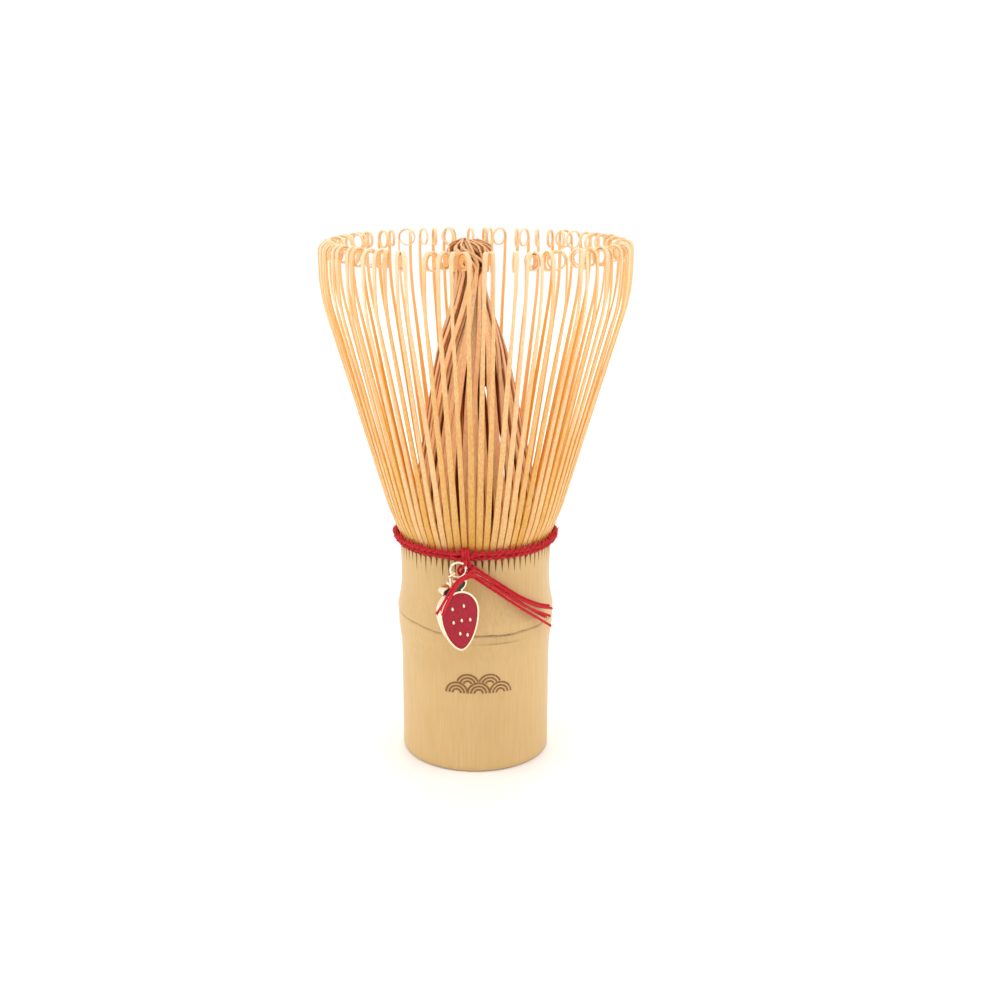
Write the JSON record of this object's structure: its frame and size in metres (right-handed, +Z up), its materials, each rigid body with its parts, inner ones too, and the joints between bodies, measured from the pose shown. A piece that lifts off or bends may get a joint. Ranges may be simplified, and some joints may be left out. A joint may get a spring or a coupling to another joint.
{
  "type": "bamboo tea whisk",
  "caption": "Whisk split from one bamboo culm: flared outer tines with curled tips, a tied inner cone, a red thread binding, and a small strawberry charm on a jump ring.",
  "frame": {"origin": "centre of the handle's base, on the surface it stands on", "axes": "+Z up along the culm towards the tines, front with the charm towards -Y"},
  "size_m": [0.057, 0.057, 0.1],
  "materials": {
    "bamboo_skin": "satin natural bamboo skin",
    "bamboo_tine": "split and shaved bamboo",
    "bamboo_inner": "split bamboo",
    "red_thread": "plied cotton thread",
    "pale_gold": "polished pale gold plate",
    "red_enamel": "glossy recessed enamel",
    "green_enamel": "glossy recessed enamel"
  },
  "bodies": {
    "whisk": {"handle_culm": "bamboo_skin", "inner_tines_1": "bamboo_inner", "inner_tines_2": "bamboo_inner", "inner_tines_3": "bamboo_inner", "inner_tines_4": "bamboo_inner", "inner_tines_5": "bamboo_inner", "inner_tines_6": "bamboo_inner", "inner_knot": "bamboo_inner", "thread_row_lower": "red_thread", "thread_row_upper": "red_thread", "thread_row_inner": "red_thread", "thread_knot": "red_thread", "hanger_loop": "red_thread", "tie_tail_low": "red_thread", "tie_tail_middle": "red_thread", "tie_tail_upper": "red_thread", "tie_bight": "red_thread"},
    "tine_group_01": {"outer_tines_01": "bamboo_tine"},
    "tine_group_02": {"outer_tines_02": "bamboo_tine"},
    "tine_group_03": {"outer_tines_03": "bamboo_tine"},
    "tine_group_04": {"outer_tines_04": "bamboo_tine"},
    "tine_group_05": {"outer_tines_05": "bamboo_tine"},
    "tine_group_06": {"outer_tines_06": "bamboo_tine"},
    "tine_group_07": {"outer_tines_07": "bamboo_tine"},
    "tine_group_08": {"outer_tines_08": "bamboo_tine"},
    "tine_group_09": {"outer_tines_09": "bamboo_tine"},
    "tine_group_10": {"outer_tines_10": "bamboo_tine"},
    "tine_group_11": {"outer_tines_11": "bamboo_tine"},
    "tine_group_12": {"outer_tines_12": "bamboo_tine"},
    "ring": {"jump_ring": "pale_gold", "tie_end_1": "red_thread", "tie_end_2": "red_thread", "tie_end_3": "red_thread"},
    "charm": {"charm_plate": "pale_gold", "berry_enamel": "red_enamel", "leaf_enamel": "green_enamel"}
  },
  "joints": [
    {"name": "tine_flex_01", "type": "hinge", "parent": "whisk", "child": "tine_group_01", "pos_m": [0, -0.0144, 0.0442], "axis": [1, 0, 0], "range_deg": [-3, 4], "stiffness_Nm_per_rad": 0.017},
    {"name": "tine_flex_02", "type": "hinge", "parent": "whisk", "child": "tine_group_02", "pos_m": [0.0072, -0.01247, 0.0442], "axis": [0.866, 0.5, 0], "range_deg": [-3, 4], "stiffness_Nm_per_rad": 0.017},
    {"name": "tine_flex_03", "type": "hinge", "parent": "whisk", "child": "tine_group_03", "pos_m": [0.01247, -0.0072, 0.0442], "axis": [0.5, 0.866, 0], "range_deg": [-3, 4], "stiffness_Nm_per_rad": 0.017},
    {"name": "tine_flex_04", "type": "hinge", "parent": "whisk", "child": "tine_group_04", "pos_m": [0.0144, 0, 0.0442], "axis": [0, 1, 0], "range_deg": [-3, 4], "stiffness_Nm_per_rad": 0.017},
    {"name": "tine_flex_05", "type": "hinge", "parent": "whisk", "child": "tine_group_05", "pos_m": [0.01247, 0.0072, 0.0442], "axis": [-0.5, 0.866, 0], "range_deg": [-3, 4], "stiffness_Nm_per_rad": 0.017},
    {"name": "tine_flex_06", "type": "hinge", "parent": "whisk", "child": "tine_group_06", "pos_m": [0.0072, 0.01247, 0.0442], "axis": [-0.866, 0.5, 0], "range_deg": [-3, 4], "stiffness_Nm_per_rad": 0.017},
    {"name": "tine_flex_07", "type": "hinge", "parent": "whisk", "child": "tine_group_07", "pos_m": [0, 0.0144, 0.0442], "axis": [-1, 0, 0], "range_deg": [-3, 4], "stiffness_Nm_per_rad": 0.017},
    {"name": "tine_flex_08", "type": "hinge", "parent": "whisk", "child": "tine_group_08", "pos_m": [-0.0072, 0.01247, 0.0442], "axis": [-0.866, -0.5, 0], "range_deg": [-3, 4], "stiffness_Nm_per_rad": 0.017},
    {"name": "tine_flex_09", "type": "hinge", "parent": "whisk", "child": "tine_group_09", "pos_m": [-0.01247, 0.0072, 0.0442], "axis": [-0.5, -0.866, 0], "range_deg": [-3, 4], "stiffness_Nm_per_rad": 0.017},
    {"name": "tine_flex_10", "type": "hinge", "parent": "whisk", "child": "tine_group_10", "pos_m": [-0.0144, 0, 0.0442], "axis": [0, -1, 0], "range_deg": [-3, 4], "stiffness_Nm_per_rad": 0.017},
    {"name": "tine_flex_11", "type": "hinge", "parent": "whisk", "child": "tine_group_11", "pos_m": [-0.01247, -0.0072, 0.0442], "axis": [0.5, -0.866, 0], "range_deg": [-3, 4], "stiffness_Nm_per_rad": 0.017},
    {"name": "tine_flex_12", "type": "hinge", "parent": "whisk", "child": "tine_group_12", "pos_m": [-0.0072, -0.01247, 0.0442], "axis": [0.866, -0.5, 0], "range_deg": [-3, 4], "stiffness_Nm_per_rad": 0.017},
    {"name": "ring_swing", "type": "hinge", "parent": "whisk", "child": "ring", "pos_m": [-0.00211, -0.0185, 0.04339], "axis": [-0.7071, 0, 0.7071], "range_deg": [0, 60]},
    {"name": "charm_sway", "type": "hinge", "parent": "ring", "child": "charm", "pos_m": [-0.00425, -0.0185, 0.0416], "axis": [0.4384, -0.8988, 0], "range_deg": [-25, 2]}
  ]
}
